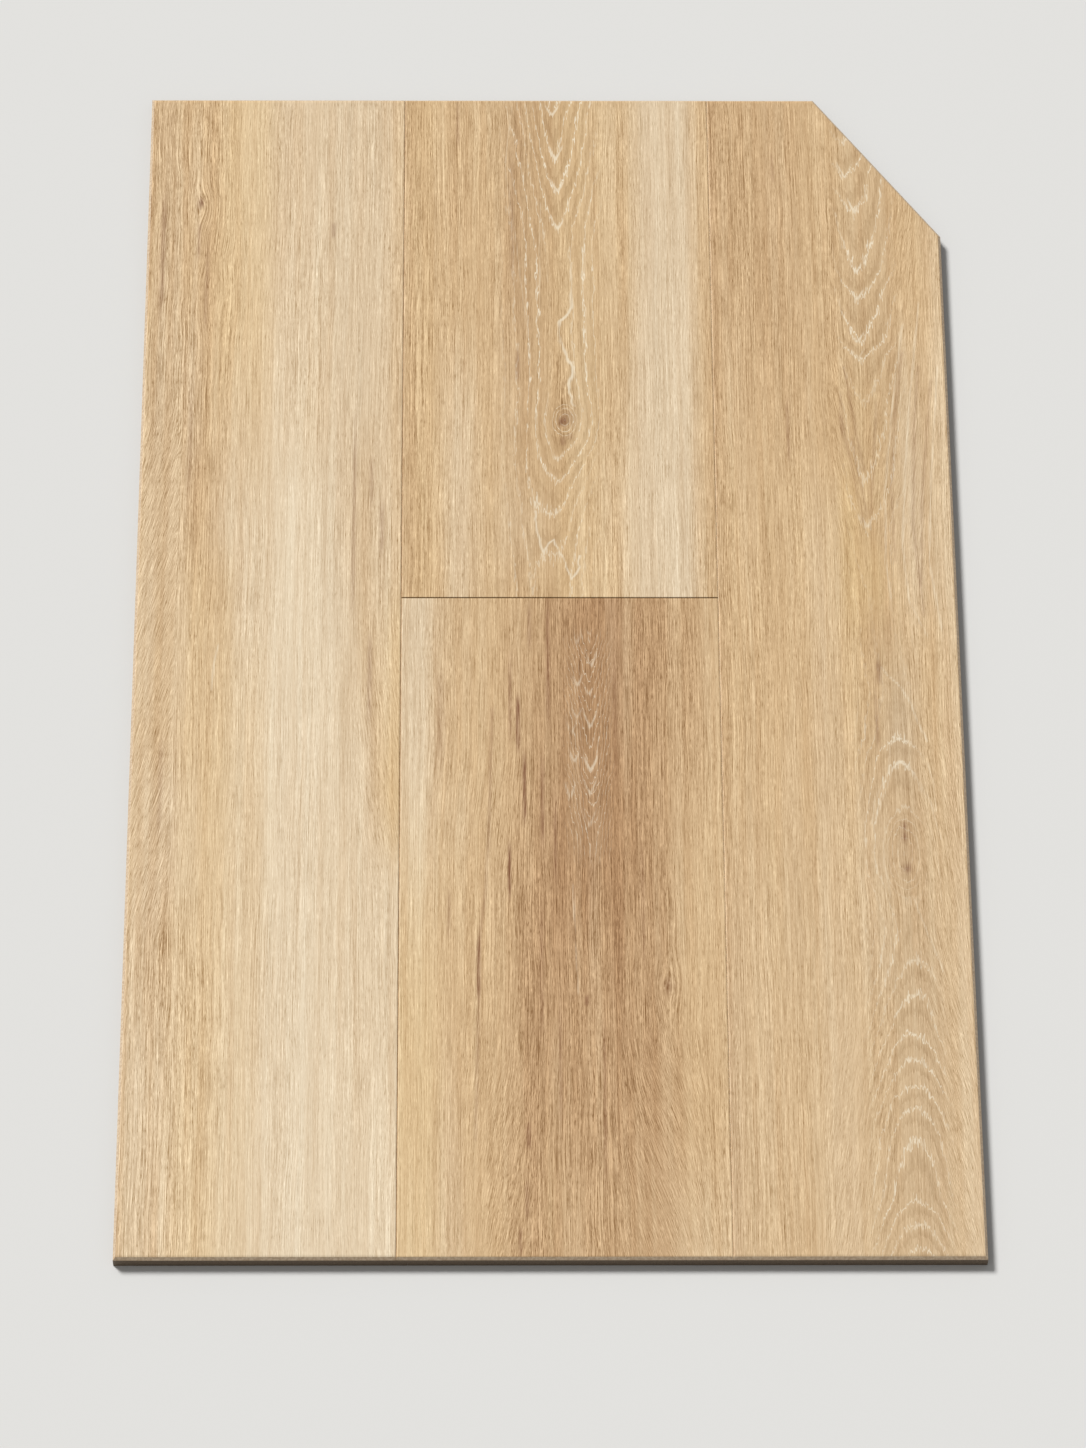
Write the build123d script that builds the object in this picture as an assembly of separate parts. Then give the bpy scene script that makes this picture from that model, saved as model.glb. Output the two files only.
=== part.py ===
from build123d import *
import os

# Trimmed panel of click-together vinyl planks in three rows, lying flat, in millimetres.
# X runs across the rows, Y along the planks towards the rear, and Z up from the underside.
# The origin is under the middle of the panel.

# Driving dimensions of the rows and the trimmed outline
thickness = 8.0
plank_width = 180.0  # face of a whole plank, as the middle row has it
left_rip = 151.0  # face left on the left row after trimming
right_rip = 136.0  # face left on the right row after trimming
panel_length = 760.0
front_length = 412.0  # front edge of the panel to the end joint of the middle row
clip_across = 72.5  # corner cut off the rear of the right row
clip_along = 98.5
edge_bevel = 1.4  # bevel round the trimmed upper edge
seam_bevel = 0.3  # painted micro bevel on each side of a seam

# Driving dimensions of the click joint
joint_gap = 0.1  # play between two locked planks
tongue_reach = 3.0
tongue_thickness = 2.8
nose_radius = 1.1
lip_thickness = 2.2
lip_reach = 6.0
heel_height = 0.9
heel_width = 1.8
heel_slope = 0.5  # lean of the heel's locking face
root = 1.5  # depth to which a tongue or lip is rooted in its own plank

# Places worked out from the driving dimensions
panel_width = left_rip + plank_width + right_rip
rear = panel_length / 2
front = -rear
right_side = panel_width / 2
left_side = -right_side
left_seam = left_side + left_rip
right_seam = right_side - right_rip
end_joint = front + front_length
tongue_bottom = lip_thickness + joint_gap
tongue_top = tongue_bottom + tongue_thickness
heel_top = lip_thickness + heel_height
heel_inner = lip_reach - heel_width
half_gap = joint_gap / 2

# The end joint stops short of the long joints: clear of the lip on its left and the tongue on its right
end_left = left_seam + lip_reach + 2 * joint_gap
end_right = right_seam - tongue_reach - 2 * joint_gap

ACROSS = Vector(1, 0, 0)
FORWARD = Vector(0, -1, 0)
UP = Vector(0, 0, 1)


# Joint profiles, drawn with the seam at zero: the grooved plank on its left, the tongued plank on its right

def nosed(profile, radius):
    """Rounds the two corners at the nose, the end furthest into the grooved plank."""
    return fillet(profile.vertices().group_by(Axis.X)[0], radius)


def tongue_profile():
    """Round-nosed tongue standing out of the tongued plank."""
    points = [(-tongue_reach, tongue_bottom), (root, tongue_bottom), (root, tongue_top), (-tongue_reach, tongue_top)]
    return nosed(make_face(Polyline(*points, close=True)), nose_radius)


def groove_profile():
    """The tongue's room in the grooved plank, larger by the play."""
    depth = tongue_reach + joint_gap
    ceiling = tongue_top + joint_gap
    points = [(-depth, lip_thickness), (root, lip_thickness), (root, ceiling), (-depth, ceiling)]
    return nosed(make_face(Polyline(*points, close=True)), nose_radius + joint_gap)


def lip_outline(floor, play):
    """Lower lip with its raised locking heel, larger all round by the play."""
    return [
        (-root, floor),
        (lip_reach + play, floor),
        (lip_reach + play, heel_top + play),
        (heel_inner - play, heel_top + play),
        (heel_inner - heel_slope - play, lip_thickness + play),
        (-root, lip_thickness + play),
    ]


def lip_profile():
    """Lip of the grooved plank."""
    return make_face(Polyline(*lip_outline(0, 0), close=True))


def lip_room_profile():
    """The lip's room under the tongued plank, open below."""
    return make_face(Polyline(*lip_outline(-root, joint_gap), close=True))


def seam_profile():
    """Shallow V between two faces: a micro bevel on each side of the gap."""
    reach = half_gap + seam_bevel
    points = [(-reach, thickness), (-half_gap, thickness - seam_bevel), (half_gap, thickness - seam_bevel)]
    return make_face(Polyline(*points, (reach, thickness), close=True))


# A profile is carried along a long seam from the rear forwards, or along the end joint from right to left

def along(profile, seam, start, end):
    """Prism of a profile on a long seam, from one place along the panel to a place further back."""
    plane = Plane(origin=(seam, end, 0), x_dir=ACROSS, z_dir=ACROSS.cross(UP))
    return extrude(plane * profile, amount=end - start)


def across(profile, start, end):
    """Prism of a profile on the end joint, with the grooved plank to the rear."""
    plane = Plane(origin=(end, end_joint, 0), x_dir=FORWARD, z_dir=FORWARD.cross(UP))
    return extrude(plane * profile, amount=end - start)


def trimmed_panel():
    """The whole panel before it is divided: clipped outline, bevelled edge and the V of every seam."""
    outline = Polyline(
        (left_side, front),
        (right_side, front),
        (right_side, rear - clip_along),
        (right_side - clip_across, rear),
        (left_side, rear),
        close=True,
    )
    block = extrude(make_face(outline), amount=thickness)
    block = chamfer(block.faces().sort_by(Axis.Z)[-1].edges(), edge_bevel)
    for seam in (left_seam, right_seam):
        block -= along(seam_profile(), seam, front, rear)
    return block - across(seam_profile(), left_seam, right_seam)


def share(panel, x_start, x_end, y_start, y_end):
    """The part of the panel between two lines across it and two lines along it."""
    size = (x_end - x_start, y_end - y_start, thickness)
    return panel & Pos(x_start, y_start, 0) * Box(*size, align=Align.MIN)


panel = trimmed_panel()

# Left row: trimmed on its outer side, groove and lip towards the middle row
left_plank = share(panel, left_side, left_seam - half_gap, front, rear)
left_plank -= along(groove_profile(), left_seam, front, rear)
left_plank += along(lip_profile(), left_seam, front, rear)

# Middle row, rear plank: the end joint's groove and lip face forwards
middle_rear_plank = share(panel, left_seam + half_gap, right_seam - half_gap, end_joint + half_gap, rear)
middle_rear_plank -= along(lip_room_profile(), left_seam, front, rear)
middle_rear_plank -= along(groove_profile(), right_seam, front, rear)
middle_rear_plank -= across(groove_profile(), end_left - joint_gap, end_right + joint_gap)
middle_rear_plank += along(tongue_profile(), left_seam, end_joint + half_gap, rear)
middle_rear_plank += along(lip_profile(), right_seam, end_joint + half_gap, rear)
middle_rear_plank += across(lip_profile(), end_left, end_right)

# Middle row, front plank: the end joint's tongue points to the rear
middle_front_plank = share(panel, left_seam + half_gap, right_seam - half_gap, front, end_joint - half_gap)
middle_front_plank -= along(lip_room_profile(), left_seam, front, rear)
middle_front_plank -= along(groove_profile(), right_seam, front, rear)
middle_front_plank -= across(lip_room_profile(), end_left - joint_gap, end_right + joint_gap)
middle_front_plank += along(tongue_profile(), left_seam, front, end_joint - half_gap)
middle_front_plank += along(lip_profile(), right_seam, front, end_joint - half_gap)
middle_front_plank += across(tongue_profile(), end_left, end_right)

# Right row: trimmed and clipped on its outer side, tongue towards the middle row
right_plank = share(panel, right_seam + half_gap, right_side, front, rear)
right_plank -= along(lip_room_profile(), right_seam, front, rear)
right_plank += along(tongue_profile(), right_seam, front, rear)

planks = {
    "left_plank": left_plank,
    "middle_rear_plank": middle_rear_plank,
    "middle_front_plank": middle_front_plank,
    "right_plank": right_plank,
}
os.makedirs("parts", exist_ok=True)
for name, plank in planks.items():
    export_step(plank, f"parts/{name}.step")
    print(name, "volume", round(plank.volume), "mm3, solids", len(plank.solids()))
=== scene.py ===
# %% [markdown]
# # A floor panel of click-together vinyl planks
# The object is a thin flat panel: three rows of planks with a pale oak print, locked together, trimmed
# and bevelled round the edge. Its whole character is in the printed, embossed face. This lesson first
# works out the shapes as numpy grids, then the flow of the grain as fields on those grids, and last the
# finish as shader nodes that read the fields.

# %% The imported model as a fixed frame
import math
from functools import partialmethod

import bmesh
import bpy
import numpy as np
from mathutils import Matrix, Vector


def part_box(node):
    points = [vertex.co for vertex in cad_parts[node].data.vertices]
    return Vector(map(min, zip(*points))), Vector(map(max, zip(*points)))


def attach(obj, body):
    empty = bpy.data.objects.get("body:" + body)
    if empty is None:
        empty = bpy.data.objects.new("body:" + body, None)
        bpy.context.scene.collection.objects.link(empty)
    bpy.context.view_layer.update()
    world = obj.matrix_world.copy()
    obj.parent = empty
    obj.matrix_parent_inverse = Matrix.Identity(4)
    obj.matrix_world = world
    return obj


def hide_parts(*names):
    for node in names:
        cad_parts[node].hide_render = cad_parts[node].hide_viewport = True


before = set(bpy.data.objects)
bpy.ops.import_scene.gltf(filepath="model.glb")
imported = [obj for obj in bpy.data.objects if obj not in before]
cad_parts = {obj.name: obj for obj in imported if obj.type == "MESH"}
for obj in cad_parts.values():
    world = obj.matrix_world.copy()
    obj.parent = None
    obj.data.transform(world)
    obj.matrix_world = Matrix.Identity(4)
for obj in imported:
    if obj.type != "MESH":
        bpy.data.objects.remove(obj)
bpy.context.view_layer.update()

MM = 0.001


def corners(node):
    """Lowest and highest corner of a CAD node, in millimetres."""
    low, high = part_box(node)
    return np.array(low) / MM, np.array(high) / MM


print("CAD nodes:", sorted(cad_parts))

# %% [markdown]
# ## Sizes
# The outer sizes are read off the frame, so the dressed planks sit exactly where the solids are. Only the
# click joint and the bevels are repeated here by name, because a box can't tell them.

# %% Sizes of the panel and its click joint, in millimetres
EDGE_BEVEL = 1.4
SEAM_BEVEL = 0.3
JOINT_GAP = 0.1
TONGUE_REACH = 3.0
TONGUE_THICKNESS = 2.8
NOSE_RADIUS = 1.1
LIP_THICKNESS = 2.2
LIP_REACH = 6.0
HEEL_HEIGHT = 0.9
HEEL_WIDTH = 1.8
HEEL_SLOPE = 0.5
CLIP_ACROSS = 72.5
CLIP_ALONG = 98.5

left_low, left_high = corners("left_plank")
right_low, right_high = corners("right_plank")
front_low, front_high = corners("middle_front_plank")
THICKNESS = left_high[2]
FRONT, REAR = left_low[1], left_high[1]
LEFT_SIDE, RIGHT_SIDE = left_low[0], right_high[0]
LEFT_SEAM = front_low[0] + TONGUE_REACH
RIGHT_SEAM = right_low[0] + TONGUE_REACH
END_JOINT = front_high[1] - TONGUE_REACH
HALF_GAP = JOINT_GAP / 2
print(f"panel {RIGHT_SIDE - LEFT_SIDE:.1f} x {REAR - FRONT:.1f} x {THICKNESS:.1f} mm,",
      f"seams at {LEFT_SEAM:.1f} and {RIGHT_SEAM:.1f}, end joint at {END_JOINT:.1f}")

# %% [markdown]
# ## The sides of a plank
# Seen from its end, a plank is a slab with a tongue on one long side and a groove over a hooked lip on
# the other, or a plain sawn side where it was trimmed. Each side is a short chain of points from the top
# edge down to the underside, measured from the seam or the outline. Drawing the chains once and carrying
# them along the plank is simpler than cutting the joint out of a block, and it keeps every wall closed.

# %% Chains of points for the three kinds of side
ARC_STEPS = 4


def quarter(centre_x, centre_z, radius, start):
    """Quarter circle as a column of points, turning on from a start in degrees."""
    angle = np.radians(start + np.linspace(0, 90, ARC_STEPS + 1))
    return np.stack([centre_x + radius * np.cos(angle), centre_z + radius * np.sin(angle)], axis=1)


def nose(reach, low, high, radius):
    """Round nose from its upper flank to its lower one: a quarter circle, a short flat, a quarter circle."""
    upper = quarter(radius - reach, high - radius, radius, 90)
    lower = quarter(radius - reach, low + radius, radius, 180)
    return np.concatenate([upper, lower])


TONGUE_LOW = LIP_THICKNESS + JOINT_GAP
TONGUE_HIGH = TONGUE_LOW + TONGUE_THICKNESS
HEEL_TOP = LIP_THICKNESS + HEEL_HEIGHT
HEEL_INNER = LIP_REACH - HEEL_WIDTH


def heel(play):
    """Slanted locking face and outer wall of the lip's heel, larger by the play, down to the underside."""
    return np.array([
        (HEEL_INNER - HEEL_SLOPE - play, LIP_THICKNESS + play),
        (HEEL_INNER - play, HEEL_TOP + play),
        (LIP_REACH + play, HEEL_TOP + play),
        (LIP_REACH + play, 0),
    ])


WALL_TOP = THICKNESS - SEAM_BEVEL
ROOM_HIGH = TONGUE_HIGH + JOINT_GAP
CHAINS = {
    "trimmed": np.array([(0, THICKNESS - EDGE_BEVEL), (0, 0)]),
    "tongued": np.concatenate([
        [(HALF_GAP, WALL_TOP), (HALF_GAP, TONGUE_HIGH)],
        nose(TONGUE_REACH, TONGUE_LOW, TONGUE_HIGH, NOSE_RADIUS), heel(JOINT_GAP)]),
    "grooved": np.concatenate([
        [(-HALF_GAP, WALL_TOP), (-HALF_GAP, ROOM_HIGH)],
        nose(TONGUE_REACH + JOINT_GAP, LIP_THICKNESS, ROOM_HIGH, NOSE_RADIUS + JOINT_GAP), heel(0)]),
}
CHAINS["clipped"] = CHAINS["trimmed"]
print("points in a side:", {kind: len(chain) for kind, chain in CHAINS.items()})

# %% [markdown]
# ## Where a trimmed side runs
# The right row's outer side has a kink where the corner is clipped. The bevel's inner line is the outline
# moved inwards by the bevel, so its kink lies a little further forward. Both lines are plain formulas of
# the distance along the panel.

# %% Outline of the right side, at the outer edge and at the inner edge of the bevel
CLIP_START = REAR - CLIP_ALONG
CLIP_LENGTH = math.hypot(CLIP_ACROSS, CLIP_ALONG)
INNER_KINK = CLIP_START + EDGE_BEVEL * (CLIP_ALONG - CLIP_LENGTH) / CLIP_ACROSS


def right_outline(y):
    """Straight side, then a straight slant from the start of the clip."""
    return RIGHT_SIDE - np.maximum(0, y - CLIP_START) * CLIP_ACROSS / CLIP_ALONG


def right_inner(y):
    """The outline moved inwards by the bevel: the nearer of the two moved lines."""
    slant = RIGHT_SIDE - (y - CLIP_START) * CLIP_ACROSS / CLIP_ALONG - EDGE_BEVEL * CLIP_LENGTH / CLIP_ALONG
    return np.minimum(RIGHT_SIDE - EDGE_BEVEL, slant)


def side_lines(kind, at, y):
    """Top edge of a side, the base line of its chain, and the base line's own place along the panel."""
    along = np.asarray(y, float)
    level = np.zeros_like(along)
    if kind == "clipped":
        base_along = np.interp(along, [FRONT, INNER_KINK, REAR], [FRONT, CLIP_START, REAR])
        return right_inner(along), right_outline(base_along), base_along
    seam_inset = HALF_GAP + SEAM_BEVEL
    inset = {"trimmed": EDGE_BEVEL, "tongued": seam_inset, "grooved": -seam_inset}[kind]
    return level + at + inset, level + at, along


print(f"clip runs {CLIP_LENGTH:.1f} mm;",
      f"the bevel's inner kink is {CLIP_START - INNER_KINK:.2f} mm ahead of it")

# %% [markdown]
# ## Random fields
# Wood is never regular, so every field gets a little seeded noise. Value noise is enough: a table of
# random numbers, read between its cells with a smooth blend. Stretching one axis turns it into streaks.

# %% Smooth noise and small shaping functions
NOISE_CELLS = 256


def smooth_noise(u, v, seed):
    """Value noise from -1 to 1: a random table read at (u, v), blended between cells by 3t^2 - 2t^3."""
    table = np.random.default_rng(seed).uniform(-1, 1, (NOISE_CELLS, NOISE_CELLS))
    cell_u, cell_v = np.floor(u).astype(int), np.floor(v).astype(int)
    share_u, share_v = u - cell_u, v - cell_v
    share_u = share_u * share_u * (3 - 2 * share_u)
    share_v = share_v * share_v * (3 - 2 * share_v)
    u0, v0 = cell_u % NOISE_CELLS, cell_v % NOISE_CELLS
    u1, v1 = (u0 + 1) % NOISE_CELLS, (v0 + 1) % NOISE_CELLS
    near = table[u0, v0] * (1 - share_v) + table[u0, v1] * share_v
    far = table[u1, v0] * (1 - share_v) + table[u1, v1] * share_v
    return near * (1 - share_u) + far * share_u


def layered(x, y, seed, layers):
    """Sum of smooth noises, each given as strength, size across and size along; the seeds count up."""
    return sum(strength * smooth_noise(x / across, y / along, seed + step)
               for step, (strength, across, along) in enumerate(layers))


def ease(value, start, end):
    """0 before start, 1 after end, and an S curve between; start may be the larger."""
    share = np.clip((value - start) / (end - start), 0, 1)
    return share * share * (3 - 2 * share)


def hump(value, centre, width):
    """Bell of height 1 about a centre."""
    return np.exp(-((value - centre) / width) ** 2)


def spot(x, y, at, across, along):
    """Bell in two directions about a point."""
    return hump(x, at[0], across) * hump(y, at[1], along)


def between(value, low, high, soft):
    """1 between low and high, falling to 0 over a soft margin on either side."""
    return ease(value, low - soft, low + soft) * ease(value, high + soft, high - soft)


print("noise sample:", np.round(smooth_noise(np.array([0.5, 1.5]), np.array([0.5, 2.5]), 1), 3))

# %% [markdown]
# ## Soft patches
# Most of a print is soft patches of colour, so one function adds them up from a short list. A row gives a
# patch's strength, its shape across the plank and its shape along it. A shape is a bell (centre, width), a
# band (low, high, margin), everything up to or past a level, or None where it doesn't matter.

# %% Sums of soft patches
FAR = 9000.0


def up_to(level, margin):
    """Band of everything below a level."""
    return -FAR, level, margin


def past(level, margin):
    """Band of everything above a level."""
    return level, FAR, margin


def shaped(value, shape):
    """Weight from 0 to 1 of a place in a shape: a bell of two numbers, a band of three, or all of it."""
    if shape is None:
        return 1.0
    return hump(value, *shape) if len(shape) == 2 else between(value, *shape)


def patches(x, y, rows):
    """Sum of soft patches, each given as strength, shape across and shape along."""
    return sum(strength * shaped(x, across) * shaped(y, along) for strength, across, along in rows)


def faded(field, x, y, rows):
    """A field made weaker by one patch after the other."""
    for row in rows:
        field = field * (1 - patches(x, y, [row]))
    return field


sample = patches(np.array([5.0, 9.0]), 0, [(0.5, (5, 4), None)])
print("a patch at its centre and beside it:", sample.round(3))

# %% [markdown]
# ## The flow of the grain
# Every plank's print is described by fields of the place (x, y). "grain" is a coordinate across the
# fibres: it equals x on straight grain and bends round knots. "lean" is the slope of the fibres where they
# run at a slant. "ring" counts growth rings, so a whole number is a ring line. "brown", "cream", "grey"
# and "gold" tint the base colour. "lime" says where white filler stands in the pores of the ring lines,
# "stroke" draws single white lines, "mark" darkens knots and cracks, and "lively" is the contrast of the
# fibres.

# %% Building blocks of a print
WAVER = 0.9
WAVER_LAYERS = [(1.0, 20.0, 60.0), (0.5, 20.0 / 2.6, 60.0 / 3.2)]
MOTTLE_LAYERS = [(0.6, 9, 150), (0.4, 4, 90)]
PATCHY_LAYERS = [(0.25, 13, 120), (0.15, 5, 90)]
KNOT_ACROSS, KNOT_ALONG = 2.2, 3.2
KNOT_RIM = 0.25
STREAK_FADE = 0.2
STROKE_FADE = 2.0
VEE_TIP = 0.6
VEE_FADE = (1.2, 0.5)
LIVELY, BROWN_LIVELY, CREAM_CALM, LIME_CALM = 1.02, 0.95, 0.4, 0.45


def wavering(x, y, seed, amount=1.0):
    """The place across the plank, moved a little sideways by broad and by finer noise."""
    return x + WAVER * amount * layered(x, y, seed, WAVER_LAYERS)


def round_knot(grain, x, y, at, radius, push):
    """Pushes the grain sideways round a knot: away from its centre, most at its rim."""
    reach = spot(x, y, at, KNOT_ACROSS * radius, KNOT_ALONG * radius)
    return grain - push * np.tanh((x - at[0]) / radius) * reach


def follow(y, places):
    """Value that runs through given (y, value) pairs, straight between them."""
    pairs = np.array(sorted(places))
    return np.interp(y, pairs[:, 0], pairs[:, 1])


def rings_about(x, y, centre, counts, asides, blunt, skew=0.0):
    """Growth rings of a flat-sawn board: the count along the centre line, less the rings passed going aside.

    Where the count grows away from a place, the lines are Vs that point at it. Where it peaks, they close
    into ovals, as round a knot. A skew makes the right arms of the Vs lie flatter than the left ones."""
    offset = x - follow(y, centre)
    aside = np.sqrt(offset ** 2 + blunt ** 2) - blunt - skew * offset
    return follow(y, counts) - follow(aside, asides)


def knot_rings(ring, x, y, at, radius, stretch, pitch):
    """Lays ovals about a knot into the ring count: inside its rim the count follows the oval distance."""
    distance = np.hypot(x - at[0], (y - at[1]) / stretch)
    level = ring[np.unravel_index(np.argmin(distance), distance.shape)]
    ovals = level + 0.5 + (radius - distance) / pitch
    inside = ease(distance, (1 + KNOT_RIM) * radius, (1 - KNOT_RIM) * radius)
    return ring + (ovals - ring) * inside


def streaks(x, y, rows):
    """Sum of thin lengthwise streaks, each given as place across, start, end, width and strength."""
    return patches(x, y, [
        (strength, (across, width), (end, start, STREAK_FADE * (start - end)))
        for across, start, end, width, strength in rows])


def stroke_along(x, y, path, width):
    """A line of the given width through (y, x) places, ending softly at the first and last."""
    ends = [place[0] for place in path]
    return hump(x, follow(y, path), width) * between(y, min(ends), max(ends), STROKE_FADE)


def polyline(x, y, path, width):
    """A jagged line through (x, y) places: a bell of the distance to the nearest of its straight pieces."""
    nearest = np.full_like(x, np.inf)
    for (x0, y0), (x1, y1) in zip(path[:-1], path[1:]):
        run = (x1 - x0) ** 2 + (y1 - y0) ** 2
        share = np.clip(((x - x0) * (x1 - x0) + (y - y0) * (y1 - y0)) / run, 0, 1)
        nearest = np.minimum(nearest, np.hypot(x - x0 - share * (x1 - x0), y - y0 - share * (y1 - y0)))
    return hump(nearest, 0, width)


def lines(draw, x, y, rows):
    """Sum of lines made by one of the two functions above, each given as strength, width and path."""
    return sum(strength * draw(x, y, path, width) for strength, width, path in rows)


def vees(x, y, tips, width):
    """Short Vs open to the rear, each given as tip across, tip along, half width, rise and strength."""
    total = np.zeros_like(x)
    for across, along, half, rise, strength in tips:
        slope = rise / half
        aside = abs(x - across)
        away = (y - along - slope * np.maximum(aside - VEE_TIP, 0)) / math.hypot(1, slope)
        arms = ease(aside, VEE_FADE[0] * half, VEE_FADE[1] * half)
        total = np.maximum(total, strength * hump(away, 0, width) * arms)
    return total


def mottled(x, y, seed):
    """Slow lengthwise unevenness from -1 to 1."""
    return layered(x, y, seed, MOTTLE_LAYERS)


def liveliness(x, y, fields, seed):
    """Contrast of the fibres: more on brown wood, less on cream and between limed rings, and patchy."""
    cream, lime = (np.clip(fields[key], 0, 1) for key in ("cream", "lime"))
    calm = (1 - CREAM_CALM * cream) * (1 - LIME_CALM * lime)
    return (LIVELY + BROWN_LIVELY * fields["brown"]) * calm * (1 + layered(x, y, seed, PATCHY_LAYERS))


sample = rings_about(np.array([12.0]), np.array([0.0]), [(0, 0)], [(0, 5)], [(0, 0), (24, 4)], 0)
print("ring count 12 mm aside of a fifth ring:", sample)

# %% [markdown]
# ## The four prints
# The prints follow the planks of the real panel: which part is cream, which is golden or brown, where the
# rings make Vs and where the knots sit. Places are in millimetres from the middle of the panel, x to the
# right and y to the rear. Each function returns the fields by name.

# %% Left plank: pale, straight grained, tan and slant grained along its outer edge
def left_print(x, y):
    """Cream plank with a tan outer edge, a golden band and a few grey streaks."""
    eye = (-202.5, 304.0)
    figured = 1 + 1.8 * spot(x, y, (-195, 290), 30, 90)
    grain = round_knot(wavering(x, y, 11, figured), x, y, eye, 5.0, 3.5)
    uneven = mottled(x, y, 13)
    edge = up_to(-187.5, 27.5)
    outer = shaped(x, edge)
    cream = ease(x, -204 + 4 * uneven, -166) * (0.56 + 0.18 * shaped(y, up_to(45, 105)))
    cream = cream + patches(x, y, [
        (0.40, edge, up_to(-120, 180)), (0.24, (-137, 17), up_to(125, 35)),
        (0.14, past(-175, 15), up_to(-280, 80))])
    tan_streak = follow(y, [(160, -110), (34, -103), (-60, -93), (-140, -86)])
    cream = faded(cream, x, y, [
        (0.75, (tan_streak, 10), (-120, 150, 40)), (0.5, (-86, 6), past(0, 60)),
        (0.45, (-191, 7), up_to(55, 25))])
    cream = cream + patches(x, y, [
        (0.20, (-207, 10), (-140, 230, 40)), (-0.12, past(-165, 7), up_to(-90, 40)),
        (0.22, (-190, -172, 8), (60, 200, 30)), (-0.20, (-113, 6), (-35, 40)),
        (0.24, (-226, -194, 5), (-170, -80, 25)), (0.16, (-207, 6), (185, 40)), (0.16, (-113, 10), (130, 35)),
        (0.15, (-229, 5), (-40, 50, 20)), (0.16, (-202, 6), (140, 40)), (0.20, (-220, 6), (-180, 30))])
    fields = {
        "grain": grain,
        "lean": patches(x, y, [
            (0.25, up_to(-210.5, 2.5), (-180, 150, 30)), (-0.13, (-106, -80, 5), (-140, 0, 25))]),
        "ring": grain / 5.0,
        "brown": 0.3 * np.maximum(0, -uneven) * (0.2 + outer) + patches(x, y, [
            (0.05, edge, past(25, 125)), (0.24, (-186, 6), (-60, 40, 20)), (0.14, (-187, 5), past(285, 25))]),
        "cream": cream + (0.16 + 0.26 * outer) * uneven,
        "grey": patches(x, y, [
            (0.066, (-222, 7), None), (0.154, (-222, 7), past(25, 75)),
            (0.15, (-128, -92, 8), past(-10, 50))]),
        "gold": patches(x, y, [
            (0.50, (-192, -160, 8), past(145, 85)), (0.32, (-206, -178, 6), up_to(55, 35)),
            (0.30, (-170, 12), up_to(-10, 50)), (0.60, (-84, 9), (-130, 30, 40))]),
        "lime": 0 * x,
        "stroke": 0.55 * stroke_along(x, y, [(2, -185.5), (-12, -188), (-30, -189)], 0.9),
        "mark": 0.75 * spot(x, y, eye, 1.8, 4.0) + streaks(x, y, [
            (-224, 305, 232, 1.6, 0.38), (-203, 290, 266, 1.0, 0.45), (-198, 270, 215, 1.0, 0.3),
            (-110, 150, 30, 1.2, 0.30), (-100, 125, 95, 1.2, 0.25), (-94, 95, 62, 1.2, 0.32),
            (-100, 5, -45, 1.3, 0.35), (-205, 175, 100, 1.2, 0.2), (-124, 290, 280, 1.4, 0.35),
            (-216, -60, -120, 1.4, 0.2)]),
    }
    rough_edge = patches(x, y, [(0.5, up_to(-193, 13), None), (-0.3, up_to(-193, 13), (-180, 150, 40))])
    fields["lively"] = liveliness(x, y, fields, 15) * (1 + rough_edge)
    return fields


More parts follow.
